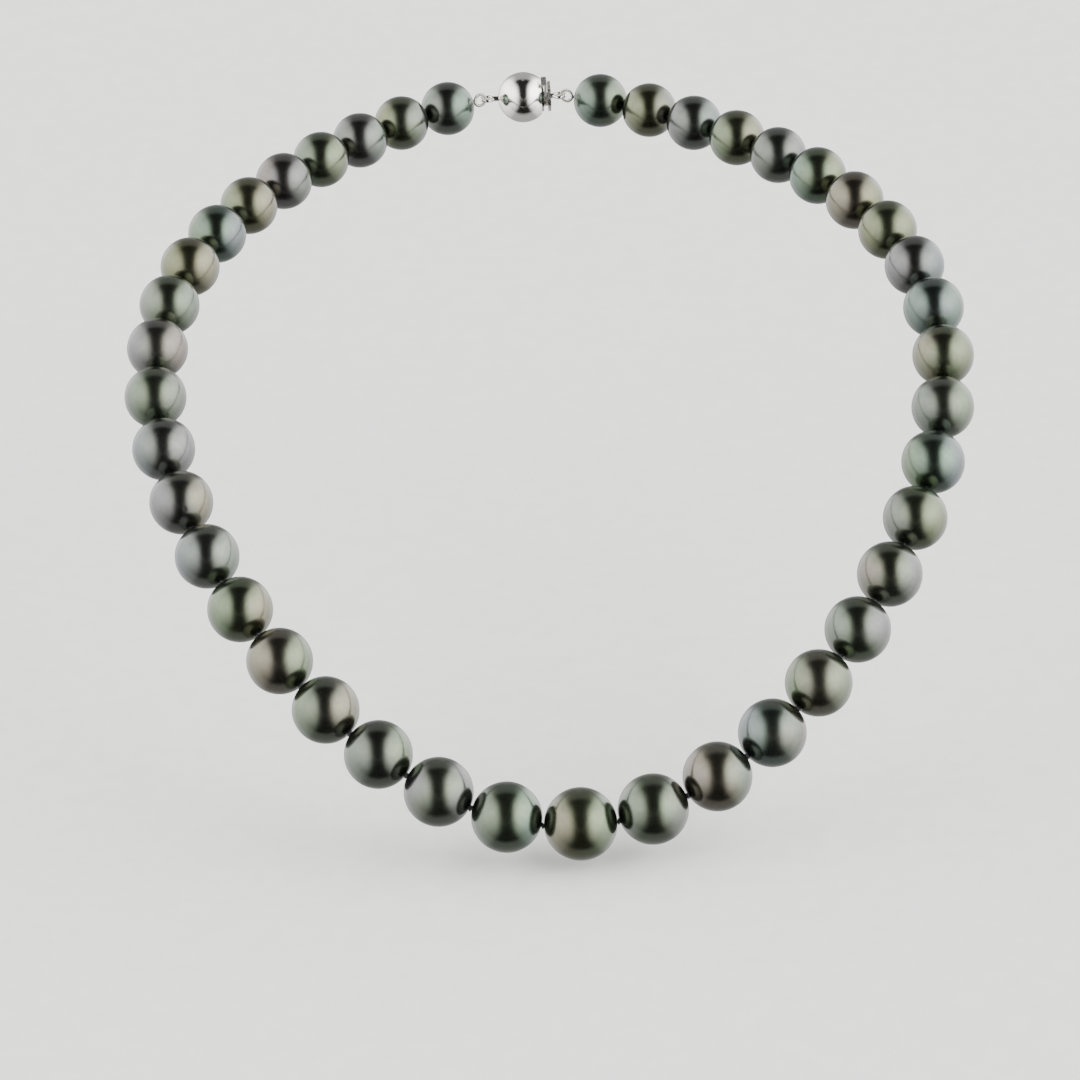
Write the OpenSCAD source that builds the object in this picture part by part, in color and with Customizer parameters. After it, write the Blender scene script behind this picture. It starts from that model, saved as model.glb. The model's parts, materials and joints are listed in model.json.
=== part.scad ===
// Graduated dark pearl necklace, in the shape it takes when worn, with a push-in ball clasp.
// The front is at -Y, the nape and the clasp at +Y, up is +Z, and "left" means -X.
// The origin is where the clasp ball rests on the nape. All sizes are in millimetres.

/* [Pearls] */
// Diameter of the centre pearl, the largest
centre_pearl_d = 11.2; // [10.6:0.1:11.6]
// Diameter of the last pearl on each side, next to the clasp
end_pearl_d = 8.9; // [8.6:0.1:9.4]
// How the diameters fall towards the clasp: 1 is evenly, less is fastest near the centre
size_falloff = 0.65; // [0.5:0.05:1]
// Pearls on each side of the centre pearl
pearls_per_side = 20; // [18:1:21]
// Diameter of the hole drilled through each pearl
bore_d = 0.9; // [0.8:0.1:1]

/* [Stringing] */
// Space between neighbouring pearls, filled by a knot
knot_gap = 0.35; // [0.3:0.05:0.5]
// Diameter of the silk thread
thread_d = 0.64; // [0.5:0.02:0.7]
// Diameter of a knot
knot_d = 1.2; // [1.1:0.1:1.3]
// Thickness of a knot along the thread
knot_t = 0.2; // [0.16:0.02:0.2]
// Length of the gimp loop between a clasp ring and its pearl
gimp_length = 2.2; // [2.1:0.1:2.4]

/* [Clasp] */
// Diameter of the clasp ball
ball_d = 8.4; // [8.2:0.1:8.6]
// Wall thickness of the ball's two halves
shell_t = 0.45; // [0.4:0.05:0.5]
// Width of the tongue
tongue_w = 2.8; // [2.6:0.1:3]
// Thickness of the tongue and of its spring leaf
strip_t = 0.35; // [0.3:0.05:0.35]
// How high the spring leaf stands above the tongue at its catch end
leaf_rise = 1.1; // [1:0.1:1.2]

/* [Hidden] */
// Worn outline of the strand, a closed smooth curve. Each row holds how much of the first four
// sine waves (across) or cosine waves (forward and up) the curve takes, in millimetres.
ACROSS = [48.7, 19.5, -1.0, -1.3];
FORWARD = [68.1, 13.0, -1.4, 1.1];
DROP = [28.2, 14.2, 4.6, 0.6];

CENTRE = "pearl_centre";
SIDES = [["left", -1], ["right", 1]];
BODY_COLOURS = ["#47524b", "#565c60", "#5b5550", "#3f5454", "#5c565f"];
WHITE_GOLD = "#d9d8d2";
SILK = "#3a3d40";
GIMP = "#c9c6bd";

bore_lip = 0.15;
// How far along u one pearl can reach, and how often each search halves its range
u_span = 60;
steps = 24;
close_steps = 18;
// From the ball's surface to the last knot, where the gimp loop hangs in its ring
ring_offset = 2.45;
pivot_x = ball_d / 2 + ring_offset;
clearance = 0.2;

// The name of pearl i on one side, such as pearl_left_07
function pearl_name(side, i) = str("pearl_", side[0], i < 10 ? "_0" : "_", i);

// ---- Where the pearls lie ----

// A point of the right half of the outline, from the front (u = 0) to the nape (u = 180)
function outline(u) = [
    ACROSS * [for (k = [1:4]) sin(k * u)],
    -FORWARD * [for (k = [1:4]) cos(k * u)],
    -DROP * [for (k = [1:4]) cos(k * u)]
];

function pearl_d(i) =
    end_pearl_d + (centre_pearl_d - end_pearl_d) * (1 - pow(i / pearls_per_side, size_falloff));

// Straight distance from knot i - 1 to knot i, across pearl i
function link(i) =
    i < pearls_per_side ? pearl_d(i) + knot_gap : pearl_d(i) + knot_gap / 2 + gimp_length;

// The u past u0 at which the outline is a given distance from a point, by halving
function reach(from, distance, low, high, n) =
    n == 0 ? (low + high) / 2
    : norm(outline((low + high) / 2) - from) < distance
        ? reach(from, distance, (low + high) / 2, high, n - 1)
        : reach(from, distance, low, (low + high) / 2, n - 1);

// The u at which the outline is half a centre pearl away from the middle
function first_u(half, low, high, n) =
    n == 0 ? (low + high) / 2
    : outline((low + high) / 2).x < half
        ? first_u(half, (low + high) / 2, high, n - 1)
        : first_u(half, low, (low + high) / 2, n - 1);

// The u of every knot from 0 to the last, with the outline drawn s times as large
function knot_us(s, us) =
    len(us) > pearls_per_side ? us
    : let (last = us[len(us) - 1])
        knot_us(s, concat(us, [reach(outline(last), link(len(us)) / s, last, last + u_span, steps)]));

function start_us(s) = [first_u((centre_pearl_d + knot_gap) / 2 / s, 0, u_span, steps)];

// How far from the middle the last knot falls when the outline is drawn s times as large
function end_x(s) = s * outline(knot_us(s, start_us(s))[pearls_per_side]).x;

// The size of outline at which the last knots reach the two clasp rings
function closing_size(low, high, n) =
    n == 0 ? (low + high) / 2
    : end_x((low + high) / 2) > pivot_x
        ? closing_size(low, (low + high) / 2, n - 1)
        : closing_size((low + high) / 2, high, n - 1);

size = closing_size(0.85, 1.15, close_steps);
knot_u = knot_us(size, start_us(size));

// Every knot of the right half, before the move that puts the nape at the origin
raw_knots = [for (u = knot_u) size * outline(u)];
last_raw = raw_knots[pearls_per_side];
nape = [0, last_raw.y - ball_d / 2, last_raw.z];
knots = [for (k = raw_knots) k - nape];

function on_side(p, side) = [p.x * side[1], p.y, p.z];
function knot(side, i) = on_side(knots[i], side);
function unit(v) = v / norm(v);

clasp_centre = [0, ball_d / 2, 0];
front_centre = [0, knots[0].y, knots[0].z];
// The clasp is turned about X so that its tongue lies flat in the plane in which it opens
clasp_tilt = atan2(clasp_centre.z - front_centre.z, clasp_centre.y - front_centre.y);

// Puts a child that lies along Z at a point, pointing the way of a direction
module along(point, direction) {
    d = unit(direction);
    translate(point) rotate([0, acos(d.z), atan2(d.y, d.x)]) children();
}

module in_clasp() {
    translate(clasp_centre) rotate([clasp_tilt, 0, 0]) children();
}

// ---- Pearls ----

module drilled_pearl(d, colour) {
    color(colour)
    difference() {
        sphere(d = d, $fn = 96);
        cylinder(d = bore_d, h = d + 1, center = true, $fn = 32);
        for (end = [-1, 1]) {
            translate([0, 0, end * d / 2])
            rotate([end > 0 ? 180 : 0, 0, 0])
            translate([0, 0, -bore_lip])
            cylinder(r1 = bore_d / 2 + 2 * bore_lip, r2 = bore_d / 2, h = 2 * bore_lip, $fn = 32);
        }
    }
}

module pearl_centre() {
    along(front_centre, [1, 0, 0]) drilled_pearl(centre_pearl_d, BODY_COLOURS[0]);
}

module side_pearl(side, i) {
    inner = knot(side, i - 1);
    way = unit(knot(side, i) - inner);
    along(inner + way * (knot_gap + pearl_d(i)) / 2, way)
        drilled_pearl(pearl_d(i), BODY_COLOURS[(2 * i + side[1] + 1) % len(BODY_COLOURS)]);
}

// ---- Thread, knots and gimp ----

// The way from a clasp ring to the knot on the far side of its pearl
function last_way(side) = unit(knot(side, pearls_per_side - 1) - knot(side, pearls_per_side));

// Where the thread meets the gimp loop, just short of the last pearl
thread_stop = 0.08;
function thread_end(side) = knot(side, pearls_per_side) + last_way(side) * (gimp_length - thread_stop);

// The thread's corners, from the left gimp loop to the right one
thread_path = concat(
    [thread_end(SIDES[0])],
    [for (i = [pearls_per_side - 1:-1:0]) knot(SIDES[0], i)],
    [for (i = [0:pearls_per_side - 1]) knot(SIDES[1], i)],
    [thread_end(SIDES[1])]
);
thread_sides = 8;

// The way the thread runs at corner n
function thread_way(n) =
    let (last = len(thread_path) - 1)
    unit(thread_path[min(n + 1, last)] - thread_path[max(n - 1, 0)]);

// Eight points round the thread at corner n, kept level so that the tube doesn't twist
function thread_ring(n) =
    let (
        way = thread_way(n),
        across = unit(cross(way, abs(way.z) > 0.8 ? [0, 1, 0] : [0, 0, 1])),
        up = cross(way, across)
    )
    [for (a = [0:thread_sides - 1])
        thread_path[n] + thread_d / 2 * (across * cos(360 * a / thread_sides) + up * sin(360 * a / thread_sides))];

module silk_thread() {
    rings = len(thread_path);
    points = [for (n = [0:rings - 1]) each thread_ring(n)];
    walls = [
        for (n = [0:rings - 2], a = [0:thread_sides - 1])
        let (b = (a + 1) % thread_sides, r = n * thread_sides)
        [r + a, r + thread_sides + a, r + thread_sides + b, r + b]
    ];
    first_cap = [for (a = [0:thread_sides - 1]) a];
    last_cap = [for (a = [thread_sides - 1:-1:0]) (rings - 1) * thread_sides + a];
    color(SILK) polyhedron(points, concat(walls, [first_cap, last_cap]), convexity = 10);
}

// One knot is drawn as a flat collar that fits round the thread
knot_play = 0.06;
module knot_collar() {
    difference() {
        cylinder(d = knot_d, h = knot_t, center = true, $fn = 24);
        cylinder(d = thread_d + knot_play, h = knot_t + 1, center = true, $fn = 24);
    }
}

module silk_knots() {
    color(SILK)
    for (n = [1:len(thread_path) - 2]) along(thread_path[n], thread_way(n)) knot_collar();
}

// A loop of fine wire coil that guards the thread where it goes round a clasp ring
module gimp(side) {
    loop_r = 0.98;
    coil_r = 0.28;
    // How far the loop's middle line reaches past the last knot, through the ring
    past_knot = 0.33;
    way = last_way(side);
    color(GIMP)
    along(knot(side, pearls_per_side) + way * (loop_r - past_knot), way)
    rotate([90, 0, 0])
    rotate_extrude($fn = 48) translate([loop_r, 0]) circle(r = coil_r, $fn = 24);
}

module gimp_left() { gimp(SIDES[0]); }
module gimp_right() { gimp(SIDES[1]); }

// ---- Clasp: a ball with a flat mouth on its right side, and a tongue that springs into it ----
// In the clasp's own frame X runs along the strand, Y away from the wearer and Z up.

ball_r = ball_d / 2;
mouth_x = ball_r * 0.8;
keeper_t = 0.4;
mouth_r = sqrt(ball_r * ball_r - mouth_x * mouth_x);
slot_w = tongue_w + 2 * clearance;
tongue_z = -0.9;
slot_low = tongue_z - clearance;
slot_high = tongue_z + strip_t * 2 + 2 * clearance;
notch_w = 1.5;
tab_w = 1.1;
tab_gap = 0.7;
fold_x = -2.4;
leaf_end_x = mouth_x - keeper_t - 0.1;
leaf_hinge_z = tongue_z + strip_t * 1.5;
leaf_top_z = tongue_z + strip_t + leaf_rise;
tab_x = mouth_x + tab_gap / 2;
tab_top_z = 3.7;
pad_w = 1.8;
pad_l = 0.9;
post_d = 0.9;
post_play = 0.04;
// How far the left post reaches inside the shell
post_inside = 0.3;
ring_r = 0.95;
ring_wire_r = 0.28;
ring_x = pivot_x - 0.65;
base_x = mouth_x + tab_gap;
base_t = 0.5;
// Lowest point of the cut in the base plate that lets the thumb tab swing
base_notch_z = 0.6;

module ball_shell() {
    difference() {
        sphere(r = ball_r, $fn = 96);
        sphere(r = ball_r - shell_t, $fn = 96);
        translate([mouth_x - keeper_t, -ball_r, -ball_r]) cube([ball_r, ball_d, ball_d]);
        rotate([0, -90, 0]) cylinder(d = post_d, h = ball_r + 1, $fn = 32);
    }
}

module half_shell(low_z) {
    color(WHITE_GOLD)
    in_clasp()
    intersection() {
        ball_shell();
        translate([-ball_r - 1, -ball_r - 1, low_z]) cube([ball_d + 2, ball_d + 2, ball_r + 1]);
    }
}

module clasp_upper_shell() { half_shell(0); }
module clasp_lower_shell() { half_shell(-ball_r - 1); }

// The flat plate that closes the mouth; the leaf catches behind it, above the slot
module clasp_keeper_plate() {
    color(WHITE_GOLD)
    in_clasp()
    difference() {
        translate([mouth_x - keeper_t, 0, 0])
        rotate([0, 90, 0])
        cylinder(r = mouth_r, h = keeper_t, $fn = 64);
        translate([0, -slot_w / 2, slot_low]) cube([ball_r, slot_w, slot_high - slot_low]);
        translate([0, -notch_w / 2, slot_low]) cube([ball_r, notch_w, leaf_top_z + clearance - slot_low]);
    }
}

module end_ring(way) {
    color(WHITE_GOLD)
    translate(clasp_centre) {
        translate([way * ring_x, 0, 0])
        rotate_extrude($fn = 64) translate([ring_r, 0]) circle(r = ring_wire_r, $fn = 32);
        post(way);
    }
}

// The pin that joins a ring to the ball or to the tongue's base
module post(way) {
    inner_x = way < 0 ? ball_r - shell_t - post_inside : base_x;
    outer_x = ring_x - ring_r;
    translate([way * inner_x, 0, 0])
    rotate([0, way * 90, 0])
    cylinder(d = post_d - post_play, h = outer_x - inner_x, $fn = 32);
}

module clasp_ring_left() { end_ring(-1); }
module clasp_ring_right() { end_ring(1); }

// Base plate, flat tongue and the rounded fold at its tip
module clasp_tongue() {
    color(WHITE_GOLD)
    in_clasp()
    difference() {
        union() {
            translate([base_x, 0, 0]) rotate([0, 90, 0]) cylinder(r = mouth_r, h = base_t, $fn = 64);
            translate([fold_x, -tongue_w / 2, tongue_z]) cube([base_x + base_t / 2 - fold_x, tongue_w, strip_t]);
        }
        rotate([0, 90, 0]) cylinder(d = post_d, h = ball_d, $fn = 32);
        translate([base_x - 1, -notch_w / 2, base_notch_z]) cube([base_t + 2, notch_w, ball_r]);
    }
}

// Spring leaf: a sloping strip from the fold to the catch, then a narrow neck, and a thumb tab that
// stands in the gap between the keeper plate and the base plate, with a pad on top
module clasp_spring_leaf() {
    slope = atan2(leaf_rise - strip_t, leaf_end_x - fold_x);
    run = norm([leaf_end_x - fold_x, leaf_rise - strip_t]);
    neck_z = leaf_top_z - strip_t;
    neck_start = leaf_end_x - 0.3;
    color(WHITE_GOLD)
    in_clasp() {
        translate([fold_x, 0, leaf_hinge_z])
        rotate([0, -slope, 0])
        translate([0, -tongue_w / 2, -strip_t / 2])
        cube([run, tongue_w, strip_t]);
        translate([fold_x, tongue_w / 2, leaf_hinge_z])
        rotate([90, 0, 0])
        cylinder(d = strip_t, h = tongue_w, $fn = 24);
        translate([neck_start, -tab_w / 2, neck_z])
        cube([tab_x + strip_t / 2 - neck_start, tab_w, strip_t]);
        translate([tab_x - strip_t / 2, -tab_w / 2, neck_z])
        cube([strip_t, tab_w, tab_top_z - neck_z]);
        translate([tab_x + strip_t / 2 - pad_l, -pad_w / 2, tab_top_z - strip_t])
        cube([pad_l, pad_w, strip_t]);
    }
}

// ---- Drawing ----

pearl_centre();
for (side = SIDES, i = [1:pearls_per_side]) {
    side_pearl(side, i);
}
silk_thread();
silk_knots();
gimp_left();
gimp_right();
clasp_upper_shell();
clasp_lower_shell();
clasp_keeper_plate();
clasp_ring_left();
clasp_tongue();
clasp_spring_leaf();
clasp_ring_right();
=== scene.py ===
"""A graduated strand of dark pearls on knotted silk, with a push-in ball clasp.

The CAD frame gives every pearl's place and size, and its joints give every knot. All lengths are in metres.
"""

import json
import math

import bpy
import numpy as np
from mathutils import Matrix, Vector


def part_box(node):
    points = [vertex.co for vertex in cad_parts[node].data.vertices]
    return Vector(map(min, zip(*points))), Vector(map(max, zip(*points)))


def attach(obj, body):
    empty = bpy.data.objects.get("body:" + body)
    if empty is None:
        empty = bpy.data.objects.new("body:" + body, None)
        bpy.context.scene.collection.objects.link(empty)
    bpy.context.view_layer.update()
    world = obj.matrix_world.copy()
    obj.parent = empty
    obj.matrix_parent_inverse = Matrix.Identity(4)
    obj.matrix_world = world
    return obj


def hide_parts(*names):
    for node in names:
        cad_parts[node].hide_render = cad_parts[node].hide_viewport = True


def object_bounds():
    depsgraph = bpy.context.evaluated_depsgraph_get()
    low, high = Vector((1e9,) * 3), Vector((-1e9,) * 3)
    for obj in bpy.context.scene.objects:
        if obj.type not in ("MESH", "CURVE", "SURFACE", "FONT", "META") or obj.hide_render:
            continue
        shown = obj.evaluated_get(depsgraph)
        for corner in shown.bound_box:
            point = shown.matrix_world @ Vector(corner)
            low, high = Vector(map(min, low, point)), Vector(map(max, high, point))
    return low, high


MM = 0.001
PEARLS_PER_SIDE = 20
BORE_R = 0.45 * MM
BORE_LIP = 0.12 * MM

# The camera: its angles in degrees, and the point that it looks at from a metre away
VIEW_ELEVATION = 24.5
VIEW_AZIMUTH = -1.7
VIEW_ROLL = -2.4
VIEW_WIDTH = 9.9
LOOKED_AT = (-2.3 * MM, -63 * MM, -50.6 * MM)
REAR_ELEVATION = -5

# Light of the tent: its far half, its near half, the near panels, the far panels, and its top in watts
TENT_PALE = 0.52
TENT_DARK = 0.015
LEFT_PANEL = 4.0
RIGHT_PANEL = 6.8
BACK_PANELS = 2.0
TOP_POWER = 6.0

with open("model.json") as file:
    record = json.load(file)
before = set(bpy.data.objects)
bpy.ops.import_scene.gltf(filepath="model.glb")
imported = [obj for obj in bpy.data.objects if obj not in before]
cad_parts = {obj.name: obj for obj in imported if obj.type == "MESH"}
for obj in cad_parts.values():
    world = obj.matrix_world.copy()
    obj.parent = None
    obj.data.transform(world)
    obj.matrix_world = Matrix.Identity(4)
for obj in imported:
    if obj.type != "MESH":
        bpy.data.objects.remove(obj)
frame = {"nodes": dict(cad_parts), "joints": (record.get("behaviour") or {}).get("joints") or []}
cad_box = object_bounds()
joints = {j["name"]: Vector(j["pos_m"]) for j in frame["joints"]}


# ---- Camera, lights and floor ----


def view_axes(elevation, azimuth, roll):
    """Forward, right and up of a view that looks along +Y at azimuth 0, turned by roll about its axis."""
    el, az, ro = math.radians(elevation), math.radians(azimuth), math.radians(roll)
    forward = Vector((-math.sin(az) * math.cos(el), math.cos(az) * math.cos(el), -math.sin(el)))
    right = Vector((math.cos(az), math.sin(az), 0))
    up = right.cross(forward)
    return forward, math.cos(ro) * right + math.sin(ro) * up, math.cos(ro) * up - math.sin(ro) * right


def placed(right, up, back, at):
    """The matrix whose columns are an object's own X, Y and Z in the world."""
    turn = Matrix((right, up, back)).transposed()
    return Matrix.Translation(at) @ turn.to_4x4()


def make_camera():
    data = bpy.data.cameras.new("camera")
    camera = bpy.data.objects.new("camera", data)
    bpy.context.scene.collection.objects.link(camera)
    forward, right, up = view_axes(VIEW_ELEVATION, VIEW_AZIMUTH, VIEW_ROLL)
    data.angle = math.radians(VIEW_WIDTH)
    data.clip_start, data.clip_end = 0.01, 20
    camera.matrix_world = placed(right, up, -forward, Vector(LOOKED_AT) - forward)
    bpy.context.scene.camera = camera


def make_lights():
    """A light tent, pale beyond the strand and dark round the camera, with tall soft panels on both sides."""
    world = bpy.data.worlds.new("light_tent")
    world.use_nodes = True
    n = Nodes(world)
    ray = n.add("TexCoord").outputs["Generated"]
    front_axes = view_axes(VIEW_ELEVATION, VIEW_AZIMUTH, 0)
    rear_axes = view_axes(REAR_ELEVATION, VIEW_AZIMUTH + 180, 0)
    front = tent_light(n, ray, *front_axes, LEFT_PANEL, RIGHT_PANEL)
    behind = tent_light(n, ray, *rear_axes, BACK_PANELS, BACK_PANELS)
    walls = n.ranged(n.along(ray, front_axes[0]), TENT_DARK, TENT_PALE, -0.14, 0.06)
    background = n.tree.nodes["Background"]
    n.put(background.inputs["Color"], (1.0, 1.0, 0.99, 1))
    n.put(background.inputs["Strength"], n.maths("ADD", walls, n.maths("ADD", front, behind)))
    bpy.context.scene.world = world
    # The tent's top, which brightens the floor evenly
    data = bpy.data.lights.new("tent_top", "AREA")
    data.size, data.energy = 1.6, TOP_POWER
    top = bpy.data.objects.new("tent_top", data)
    top.location = (0, -0.07, 1.5)
    top.visible_glossy = False
    bpy.context.scene.collection.objects.link(top)


def tent_light(n, ray, forward, right, up, left_light, right_light):
    """The light from each direction of the half of the tent that is behind a viewer who looks along forward.

    It is laid out as a mirror ball shows it to that viewer: across and high run from -1 to 1.
    """
    flare_height, panel_reach = 0.62, 0.47
    gap_at_middle, gap_flare = 0.10, 0.14
    soft_edge, panel_middle = 0.26, 0.12
    # A mirror's normal lies halfway between the ray and the way back to the viewer
    facing = n.maths("MULTIPLY_ADD", n.along(ray, forward), -2.0, 2.0)
    span = n.maths("SQRT", n.maths("MAXIMUM", facing, 0.0001))
    across = n.maths("DIVIDE", n.along(ray, right), span)
    high = n.maths("DIVIDE", n.along(ray, up), span)
    flare = n.maths("POWER", n.maths("ABSOLUTE", n.maths("DIVIDE", high, flare_height)), 4.0)
    gap = n.maths("MULTIPLY_ADD", flare, gap_flare, gap_at_middle)
    from_gap = n.maths("SUBTRACT", n.maths("ABSOLUTE", across), gap)
    beside = n.ranged(from_gap, 0, 1, 0.0, soft_edge, "SMOOTHSTEP")
    middle = n.maths("DIVIDE", n.maths("SUBTRACT", high, panel_middle), panel_reach)
    tall = n.maths("EXPONENT", n.maths("MULTIPLY", n.maths("POWER", middle, 2.0), -1.0))
    outer = n.ranged(n.maths("ABSOLUTE", across), 1, 0.06, 0.5, 0.97, "SMOOTHSTEP")
    panel = n.maths("MULTIPLY", n.maths("MULTIPLY", beside, tall), outer)
    return n.maths("MULTIPLY", panel, n.ranged(across, left_light, right_light, -0.1, 0.1))


def make_floor():
    """A pale floor that sweeps up into a backdrop, a millimetre under the lowest pearl."""
    low = cad_box[0][2] - MM
    reach, radius, steps = 2.0, 0.6, 12
    half_width, wall_height = 2.5, 2
    profile = [(-reach, low), (reach - radius, low)]
    for k in range(1, steps + 1):
        a = math.pi / 2 * k / steps
        profile.append((reach - radius + radius * math.sin(a), low + radius * (1 - math.cos(a))))
    profile.append((reach, low + wall_height))
    points = [(x, y, z) for y, z in profile for x in (-half_width, half_width)]
    faces = [(2 * k, 2 * k + 1, 2 * k + 3, 2 * k + 2) for k in range(len(profile) - 1)]
    floor = new_piece("floor", points, faces, floor_material())
    # The pearls mirror the whole tent, also the part of it that is below the floor
    floor.visible_glossy = False
    floor.visible_shadow = False


# ---- Meshes ----


def new_piece(name, points, faces, material, at=(0, 0, 0)):
    mesh = bpy.data.meshes.new(name)
    mesh.from_pydata([tuple(p) for p in points], [], faces)
    mesh.polygons.foreach_set("use_smooth", [True] * len(mesh.polygons))
    mesh.materials.append(material)
    mesh.update()
    piece = bpy.data.objects.new(name, mesh)
    piece.location = at
    bpy.context.scene.collection.objects.link(piece)
    return piece


def axes_across(way):
    """Two directions at right angles to a way and to each other."""
    helper = np.array((0, 0, 1.0)) if abs(way[2]) < 0.9 else np.array((1.0, 0, 0))
    across = np.cross(way, helper)
    across /= np.linalg.norm(across)
    return across, np.cross(way, across)


def grid_faces(rows, columns, first=0, close_rows=False):
    """Quads of a grid of rows that each close into a ring."""
    faces = []
    for r in range(rows if close_rows else rows - 1):
        a, b = first + r * columns, first + (r + 1) % rows * columns
        for c in range(columns):
            d = (c + 1) % columns
            faces.append((a + c, a + d, b + d, b + c))
    return faces


def tube(path, radius, sides, closed=False):
    """Points and faces of a round tube along a path, its ends closed unless it joins itself."""
    path = np.asarray(path, float)
    count = len(path)
    if closed:
        ways = np.roll(path, -1, 0) - np.roll(path, 1, 0)
    else:
        ways = np.gradient(path, axis=0)
    ways /= np.linalg.norm(ways, axis=1)[:, None]
    across, _ = axes_across(ways[0])
    rings = []
    angles = np.arange(sides) * 2 * math.pi / sides
    for point, way in zip(path, ways):
        across = across - way * np.dot(across, way)
        across /= np.linalg.norm(across)
        up = np.cross(way, across)
        rings.append(point + radius * (np.outer(np.cos(angles), across) + np.outer(np.sin(angles), up)))
    points = np.concatenate(rings)
    faces = grid_faces(count, sides, close_rows=closed)
    if not closed:
        faces.append(tuple(range(sides - 1, -1, -1)))
        faces.append(tuple(range((count - 1) * sides, count * sides)))
    return points, faces


def joined(parts):
    points, faces, offset = [], [], 0
    for p, f in parts:
        points.append(p)
        faces += [tuple(i + offset for i in face) for face in f]
        offset += len(p)
    return np.concatenate(points), faces


# ---- Materials ----


class Nodes:
    """Short calls for building the nodes of a material or a world."""

    def __init__(self, owner):
        self.tree = owner.node_tree

    def add(self, kind, inputs=None, **settings):
        node = self.tree.nodes.new("ShaderNode" + kind)
        for key, value in settings.items():
            setattr(node, key, value)
        for key, value in (inputs or {}).items():
            self.put(node.inputs[key], value)
        return node

    def put(self, socket, value):
        if hasattr(value, "is_output"):
            self.tree.links.new(value, socket)
        else:
            socket.default_value = value

    def set(self, **inputs):
        for key, value in inputs.items():
            self.put(self.tree.nodes["Principled BSDF"].inputs[key.replace("_", " ")], value)

    def place(self, turn=(0, 0, 0), stretch=(1, 1, 1)):
        coords = self.add("TexCoord").outputs["Object"]
        return self.add("Mapping", {"Vector": coords, "Rotation": turn, "Scale": stretch}).outputs["Vector"]

    def noise(self, vector, size, detail=2.0, roughness=0.5):
        """Noise whose features are about this size across, in metres."""
        inputs = {"Vector": vector, "Scale": 1 / size, "Detail": detail, "Roughness": roughness}
        return self.add("TexNoise", inputs).outputs["Fac"]

    def maths(self, operation, a, b=0.0, c=0.0):
        return self.add("Math", {0: a, 1: b, 2: c}, operation=operation).outputs[0]

    def along(self, ray, way):
        return self.add("VectorMath", {0: ray, 1: way}, operation="DOT_PRODUCT").outputs["Value"]

    def times(self, colour, value):
        node = self.add("Mix", {0: 1.0, 6: colour, 7: value}, data_type="RGBA", blend_type="MULTIPLY")
        return node.outputs[2]

    def ranged(self, value, low, high, start=0.3, end=0.7, kind="LINEAR"):
        inputs = {"Value": value, "From Min": start, "From Max": end, "To Min": low, "To Max": high}
        return self.add("MapRange", inputs, interpolation_type=kind).outputs["Result"]

    def ramp(self, value, stops):
        node = self.add("ValToRGB", {"Fac": value})
        node.color_ramp.interpolation = "B_SPLINE"
        elements = node.color_ramp.elements
        while len(elements) < len(stops):
            elements.new(0.5)
        for element, (at, colour) in zip(elements, stops):
            element.position, element.color = at, (*colour, 1)
        return node.outputs["Color"]

    def bump(self, height, distance, strength=1.0, under=None):
        inputs = {"Height": height, "Distance": distance, "Strength": strength}
        if under is not None:
            inputs["Normal"] = under
        return self.add("Bump", inputs).outputs["Normal"]


class Material(Nodes):
    def __init__(self, name):
        self.material = bpy.data.materials.new(name)
        self.material.use_nodes = True
        super().__init__(self.material)


def floor_material():
    n = Material("pale_floor")
    here = n.place()
    n.set(Base_Color=n.ramp(n.noise(here, 4 * MM, 3), [(0.3, (0.80, 0.80, 0.79)), (0.7, (0.86, 0.86, 0.85))]))
    n.set(Roughness=0.75, Normal=n.bump(n.noise(here, 1.2 * MM, 4), 0.2 * MM, 0.3))
    return n.material


# Body tones of dark nacre. Each pearl takes three, from its left side to its right side.
TONES = {
    "green": (0.092, 0.116, 0.074),
    "moss": (0.098, 0.108, 0.068),
    "teal": (0.080, 0.114, 0.090),
    "cool": (0.092, 0.108, 0.088),
    "blue": (0.090, 0.102, 0.104),
    "lilac": (0.104, 0.100, 0.104),
    "rose": (0.116, 0.102, 0.088),
    "beige": (0.118, 0.110, 0.078),
    "olive": (0.104, 0.108, 0.064),
    "silver": (0.110, 0.116, 0.100),
    "steel": (0.094, 0.099, 0.088),
}
CENTRE_TONES = "beige moss green"
LEFT_TONES = [
    "cool green teal",
    "lilac green lilac",
    "cool steel green",
    "green steel beige",
    "beige rose green",
    "green green beige",
    "blue silver cool",
    "lilac steel beige",
    "blue silver lilac",
    "cool green steel",
    "lilac silver rose",
    "silver green cool",
    "olive olive beige",
    "green teal blue",
    "green olive beige",
    "rose lilac steel",
    "cool green moss",
    "steel lilac cool",
    "olive green steel",
    "cool steel teal",
]
RIGHT_TONES = [
    "cool green steel",
    "rose beige cool",
    "blue teal rose",
    "green rose green",
    "cool green lilac",
    "rose green lilac",
    "steel green moss",
    "green teal blue",
    "cool steel green",
    "beige green moss",
    "teal blue teal",
    "lilac steel blue",
    "olive green olive",
    "beige rose olive",
    "teal green olive",
    "steel cool lilac",
    "green moss beige",
    "lilac cool blue",
    "moss olive steel",
    "teal cool green",
]


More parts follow.
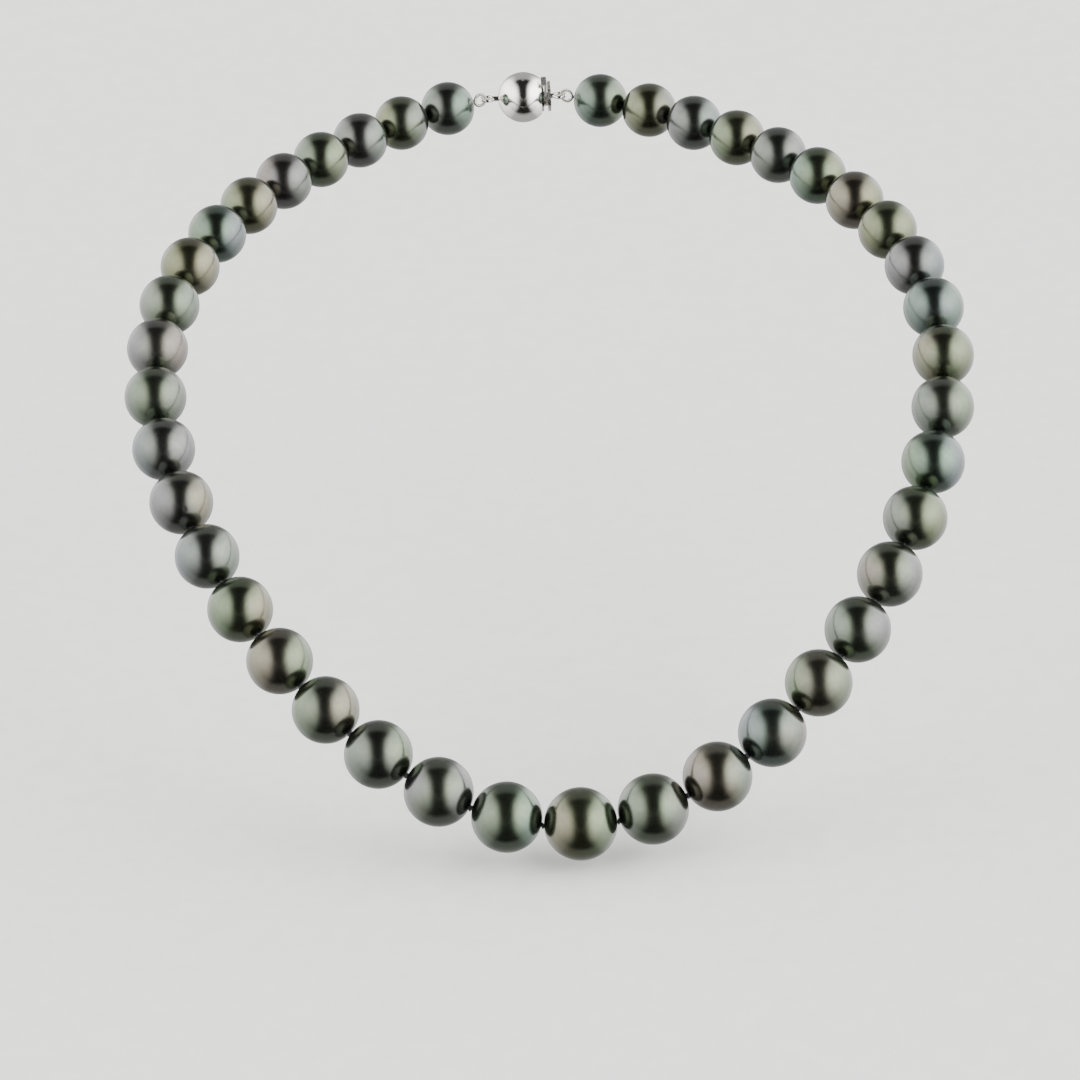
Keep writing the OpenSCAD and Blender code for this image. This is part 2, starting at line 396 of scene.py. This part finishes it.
def nacre(name, tones, radius, seed):
    """Dark nacre: a mirror-soft metal sheen in drifting tones under a clear gloss."""
    n = Material(name)
    turn = (seed * 1.7, seed * 2.3, seed * 0.9)
    here, plain = n.place(turn), n.place()
    across = n.add("SeparateXYZ", {"Vector": plain}).outputs["X"]
    clouds = n.noise(here, radius * 1.3, 2)
    drift = n.maths("MULTIPLY_ADD", clouds, 0.9, 0.05)
    side = n.maths("ADD", n.maths("MULTIPLY", across, 0.42 / radius), drift)
    left, middle, right = (TONES[t] for t in tones.split())
    body = n.ramp(side, [(0.18, left), (0.5, middle), (0.82, right)])
    grain = n.noise(here, radius * 0.16, 4, 0.6)
    body = n.times(body, n.ranged(grain, 0.92, 1.06))
    rings = n.maths("ABSOLUTE", n.maths("SINE", n.maths("MULTIPLY", n.noise(here, radius * 0.8, 1), 40)))
    cells = {"Vector": here, "Scale": 0.55 / radius, "Randomness": 1.0}
    pits = n.add("TexVoronoi", cells).outputs["Distance"]
    pits = n.ranged(pits, 0, 1, 0.02, 0.055)
    height = n.maths("ADD", n.maths("MULTIPLY", grain, 0.5), n.maths("MULTIPLY", rings, 0.12))
    skin = n.bump(height, 0.03 * MM, 0.35)
    n.set(Base_Color=body, Metallic=0.97, Roughness=n.ranged(clouds, 0.19, 0.25), IOR=1.6)
    n.set(Normal=n.bump(pits, 0.06 * MM, 0.8, skin))
    n.set(Coat_Weight=0.35, Coat_Roughness=0.12, Coat_IOR=1.45)
    n.set(Thin_Film_Thickness=420.0, Thin_Film_IOR=1.4)
    return n.material


def silk():
    n = Material("grey_silk")
    here = n.place()
    strands = n.noise(here, 0.12 * MM, 3, 0.6)
    n.set(Base_Color=n.ramp(strands, [(0.25, (0.020, 0.022, 0.025)), (0.75, (0.075, 0.08, 0.085))]))
    n.set(Roughness=n.ranged(strands, 0.45, 0.65), Normal=n.bump(strands, 0.04 * MM, 0.7))
    n.set(Sheen_Weight=0.35, Sheen_Roughness=0.35)
    return n.material


def polished_gold(name, colour, roughness, scratch=0.4):
    """White gold, polished, with the fine wheel marks and hairline scratches of wear."""
    n = Material(name)
    here = n.place()
    lines = n.noise(n.place((0.4, 0.2, 0.9), (1, 9, 1)), 0.7 * MM, 4, 0.7)
    patina = n.noise(here, 2.5 * MM, 3)
    darker = tuple(0.9 * c for c in colour)
    n.set(Base_Color=n.ramp(patina, [(0.3, darker), (0.7, colour)]), Metallic=1.0)
    n.set(Roughness=n.ranged(lines, roughness, roughness + 0.12))
    n.set(Normal=n.bump(lines, 0.01 * MM, scratch))
    return n.material


# ---- The strand ----

# Growth marks of two pearls: direction from the middle, width in radians and depth as a share of the radius
BLEMISHES = {
    "pearl_right_14": [((0.25, -0.85, -0.1), 0.10, 0.012), ((0.05, -0.9, -0.3), 0.16, 0.006)],
    "pearl_left_08": [((0.12, -0.95, 0.2), 0.05, 0.008)],
}


def knot_at(side, i):
    """Knot i of a side, from 0 beside the centre pearl to the last at the clasp ring."""
    if i == 0:
        return joints[f"open_{side}_of_centre"]
    return joints[f"lift_{i:02d}" if side == "left" else f"lift_{i:02d}_right"]


def wobble(directions, seed, waves=6):
    """A smooth random value from about -1 to 1 for each direction, the same on every run."""
    rng = np.random.RandomState(seed)
    total = np.zeros(len(directions))
    for _ in range(waves):
        way = rng.normal(size=3)
        way *= rng.uniform(1.2, 3.0) / np.linalg.norm(way)
        total += np.sin(directions @ way * math.pi + rng.uniform(0, 6.28))
    return total / waves


def pearl_profile(radius, steps):
    """Radius and height of the outer skin and the drilled bore, as one closed line."""
    mouth = math.asin((BORE_R + BORE_LIP) / radius)
    angles = np.linspace(mouth, math.pi - mouth, steps)
    line = [(radius * math.sin(a), radius * math.cos(a)) for a in angles]
    face = radius * math.cos(mouth)
    lip = [(BORE_R + BORE_LIP * (1 - math.sin(t)), face - BORE_LIP * (1 - math.cos(t))) for t in (0.5, 1.05)]
    low_lip = [(r, -z) for r, z in lip]
    wall = [(BORE_R, share * (face - 1.3 * BORE_LIP)) for share in (-1, -0.45, 0.45, 1)]
    return line + low_lip + wall + lip[::-1]


def make_pearl(name, tones, way, seed, blemish=None):
    low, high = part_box(name)
    centre, radius = (low + high) / 2, max(high - low) / 2
    way = np.array(way.normalized())
    across, up = axes_across(way)
    profile = np.array(pearl_profile(radius, 64))
    columns = 112
    angles = np.arange(columns) * 2 * math.pi / columns
    spokes = np.outer(np.cos(angles), across) + np.outer(np.sin(angles), up)
    points = profile[:, None, :1] * spokes[None] + profile[:, None, 1:] * way[None, None]
    points = points.reshape(-1, 3)
    reach = np.linalg.norm(points, axis=1)
    directions = points / reach[:, None]
    # Nacre is never quite round: it falls inward a little, and here and there has a shallow dimple
    out_of_round, skin_from = 0.0035, 0.97
    inward = out_of_round * (1 + wobble(directions, seed))
    rng = np.random.RandomState(seed + 500)
    for _ in range(rng.randint(0, 3)):
        spot = rng.normal(size=3)
        inward += dimple(directions, spot, rng.uniform(0.06, 0.10), rng.uniform(0.002, 0.004))
    for spot, width, depth in blemish or []:
        inward += dimple(directions, spot, width, depth)
    outer = reach > skin_from * radius
    points[outer] *= (1 - inward[outer])[:, None]
    # The profile runs down the outside and back up the bore, so its quads are turned to face outward
    faces = [face[::-1] for face in grid_faces(len(profile), columns, close_rows=True)]
    finish = nacre("nacre_" + name, tones, radius, seed)
    piece = new_piece(name.replace("pearl", "nacre"), points, faces, finish, centre)
    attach(piece, name)
    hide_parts(name)
    return centre, radius


def dimple(directions, spot, width, depth):
    spot = np.array(spot, float)
    spot /= np.linalg.norm(spot)
    away = np.arccos(np.clip(directions @ spot, -1, 1))
    return depth * np.exp(-((away / width) ** 2))


def twisted_thread(start, end):
    """Two plies of silk twisted round each other, straight from start to end."""
    start, end = np.array(start), np.array(end)
    way = (end - start) / np.linalg.norm(end - start)
    across, up = axes_across(way)
    length = np.linalg.norm(end - start)
    ply_r, ply_offset, twist = 0.16 * MM, 0.15 * MM, 1.1 * MM
    steps = int(length / ply_r)
    parts = []
    for ply in (0, math.pi):
        t = np.linspace(0, 1, steps)
        turn = ply + t * length / twist * 2 * math.pi
        off = ply_offset * (np.outer(np.cos(turn), across) + np.outer(np.sin(turn), up))
        parts.append(tube(start + np.outer(t * length, way) + off, ply_r, 7))
    return parts


def overhand_knot(at, way):
    """A trefoil of thread drawn tight, flattened to fit the space between two pearls."""
    across, up = axes_across(np.array(way.normalized()))
    lobe, rise, thread_r = 0.148 * MM, 0.045 * MM, 0.125 * MM
    t = np.linspace(0, 2 * math.pi, 64, endpoint=False)
    spread = 2 + np.cos(3 * t)
    flat = np.outer(spread * np.cos(2 * t), across) + np.outer(spread * np.sin(2 * t), up)
    high = np.outer(np.sin(3 * t), np.array(way.normalized()))
    return tube(np.array(at) + lobe * flat + rise * high, thread_r, 8, closed=True)


def make_silk(name, body, parts):
    points, faces = joined(parts)
    piece = new_piece(name, points, faces, SILK)
    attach(piece, body)
    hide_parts("silk_thread", "silk_knots")


def make_strand():
    make_pearl("pearl_centre", CENTRE_TONES, Vector((1, 0, 0)), 7)
    centre_knots = [overhand_knot(knot_at(s, 0), Vector((1, 0, 0))) for s in ("left", "right")]
    across = twisted_thread(knot_at("left", 0), knot_at("right", 0))
    make_silk("silk_centre", "pearl_centre", across + centre_knots)
    for side, tones in (("left", LEFT_TONES), ("right", RIGHT_TONES)):
        for i in range(1, PEARLS_PER_SIDE + 1):
            name = f"pearl_{side}_{i:02d}"
            inner, outer = knot_at(side, i - 1), knot_at(side, i)
            way = (outer - inner).normalized()
            seed = 11 * i + (3 if side == "right" else 0)
            make_pearl(name, tones[i - 1], way, seed, BLEMISHES.get(name))
            parts = []
            if i < PEARLS_PER_SIDE:
                further = (knot_at(side, i + 1) - outer).normalized()
                parts.append(overhand_knot(outer, way + further))
            else:
                outer = make_gimp(side, outer, -way)
            make_silk(f"silk_{side}_{i:02d}", name, twisted_thread(inner, outer) + parts)


# ---- Gimp and clasp ----


def make_gimp(side, ring_point, way):
    """A loop of fine wire coil round the clasp ring, with the silk inside it. Returns its far end."""
    body = f"pearl_{side}_{PEARLS_PER_SIDE:02d}"
    way = np.array(way)
    up = np.array((0, 0, 1.0))
    up -= way * np.dot(up, way)
    up /= np.linalg.norm(up)
    loop_r, coil_r, wire_r = 0.98 * MM, 0.235 * MM, 0.042 * MM
    centre = np.array(ring_point) + way * (loop_r - 0.33 * MM)
    outward = np.cross(way, up)
    turns, steps = 58, 9
    t = np.linspace(0, 2 * math.pi, turns * steps, endpoint=False)
    spoke = np.outer(np.cos(t), way) + np.outer(np.sin(t), up)
    wind = t * turns
    sideways = np.outer(coil_r * np.sin(wind), outward)
    coil = centre + spoke * (loop_r + coil_r * np.cos(wind))[:, None] + sideways
    points, faces = tube(coil, wire_r, 6, closed=True)
    wire = new_piece(f"gimp_coil_{side}", points, faces, GIMP_WIRE)
    core_points, core_faces = tube(centre + loop_r * spoke[::steps], 0.17 * MM, 8, closed=True)
    core = new_piece(f"gimp_silk_{side}", core_points, core_faces, SILK)
    for piece, slot in ((wire, "gimp"), (core, "silk")):
        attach(piece, body)
        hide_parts(f"gimp_{side}")
    return Vector(centre + way * loop_r)


def finish_clasp():
    """The clasp's CAD pieces keep their shape and get polished white gold."""
    bright = polished_gold("white_gold_polished", (0.86, 0.84, 0.80), 0.08)
    strip = polished_gold("white_gold_rolled", (0.84, 0.82, 0.77), 0.2, 0.7)
    for name, node in frame["nodes"].items():
        if name.startswith("clasp"):
            finish = strip if name in ("clasp_tongue", "clasp_spring_leaf") else bright
            node.data.materials.clear()
            node.data.materials.append(finish)


make_camera()
make_lights()
make_floor()
SILK = silk()
GIMP_WIRE = polished_gold("gimp_wire", (0.80, 0.78, 0.72), 0.16)
make_strand()
finish_clasp()
